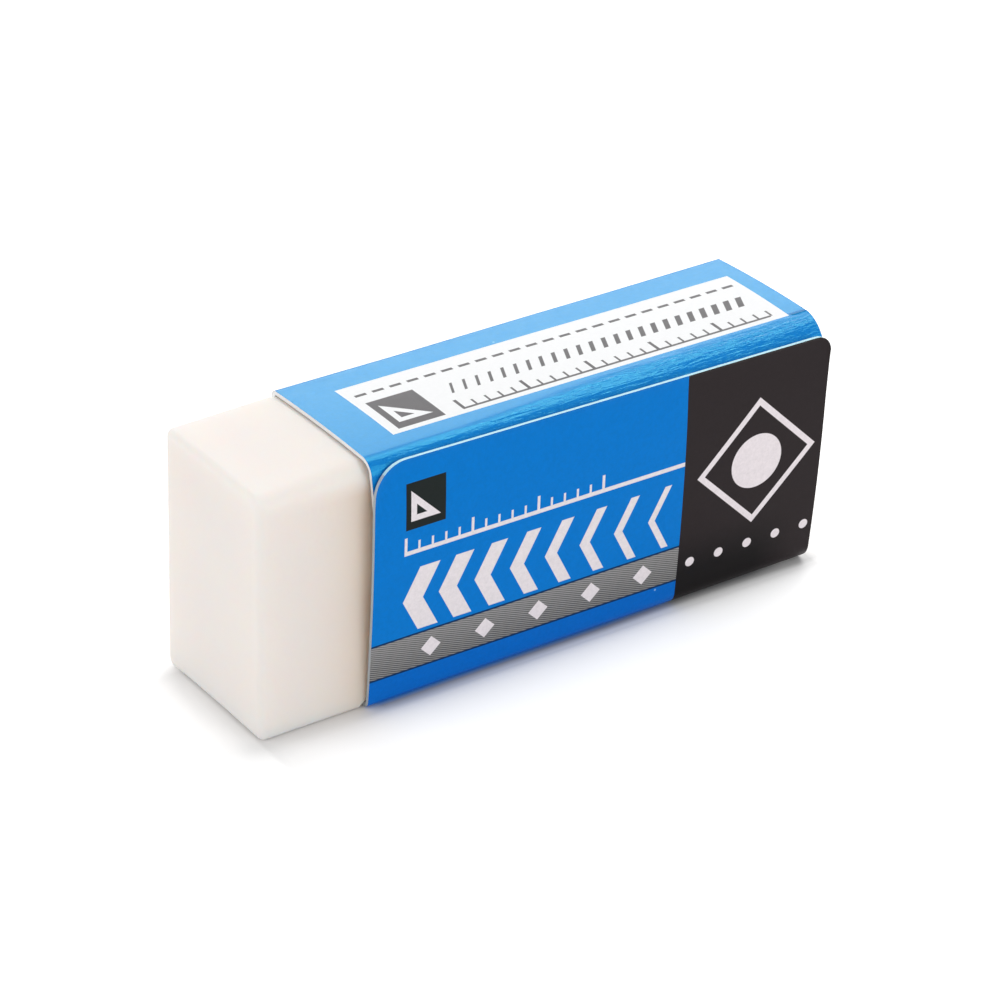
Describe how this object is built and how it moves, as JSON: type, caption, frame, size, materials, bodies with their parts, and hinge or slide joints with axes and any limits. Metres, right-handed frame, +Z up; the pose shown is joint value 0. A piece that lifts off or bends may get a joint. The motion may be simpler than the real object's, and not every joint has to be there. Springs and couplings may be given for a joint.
{
  "type": "rubber eraser",
  "caption": "Soft white eraser block standing on its narrow side in a folded printed card sleeve that slides along it, one end of the block bare for rubbing out pencil.",
  "frame": {"origin": "under the middle of the whole, on the surface that the sleeve stands on", "axes": "+X along the block away from its bare end, +Y from the lapped front panel to the back, +Z up"},
  "size_m": [0.043, 0.0122, 0.018],
  "materials": {
    "block_vinyl": "matt, slightly translucent warm white",
    "sleeve_card": "coated card printed in blue and black, with white cut edges"
  },
  "bodies": {
    "sleeve": {"card_sleeve": "sleeve_card"},
    "block": {"eraser_block": "block_vinyl"}
  },
  "joints": [
    {"name": "block_slide", "type": "slide", "parent": "sleeve", "child": "block", "axis": [1, 0, 0], "range_m": [-0.035, 0.043]}
  ]
}
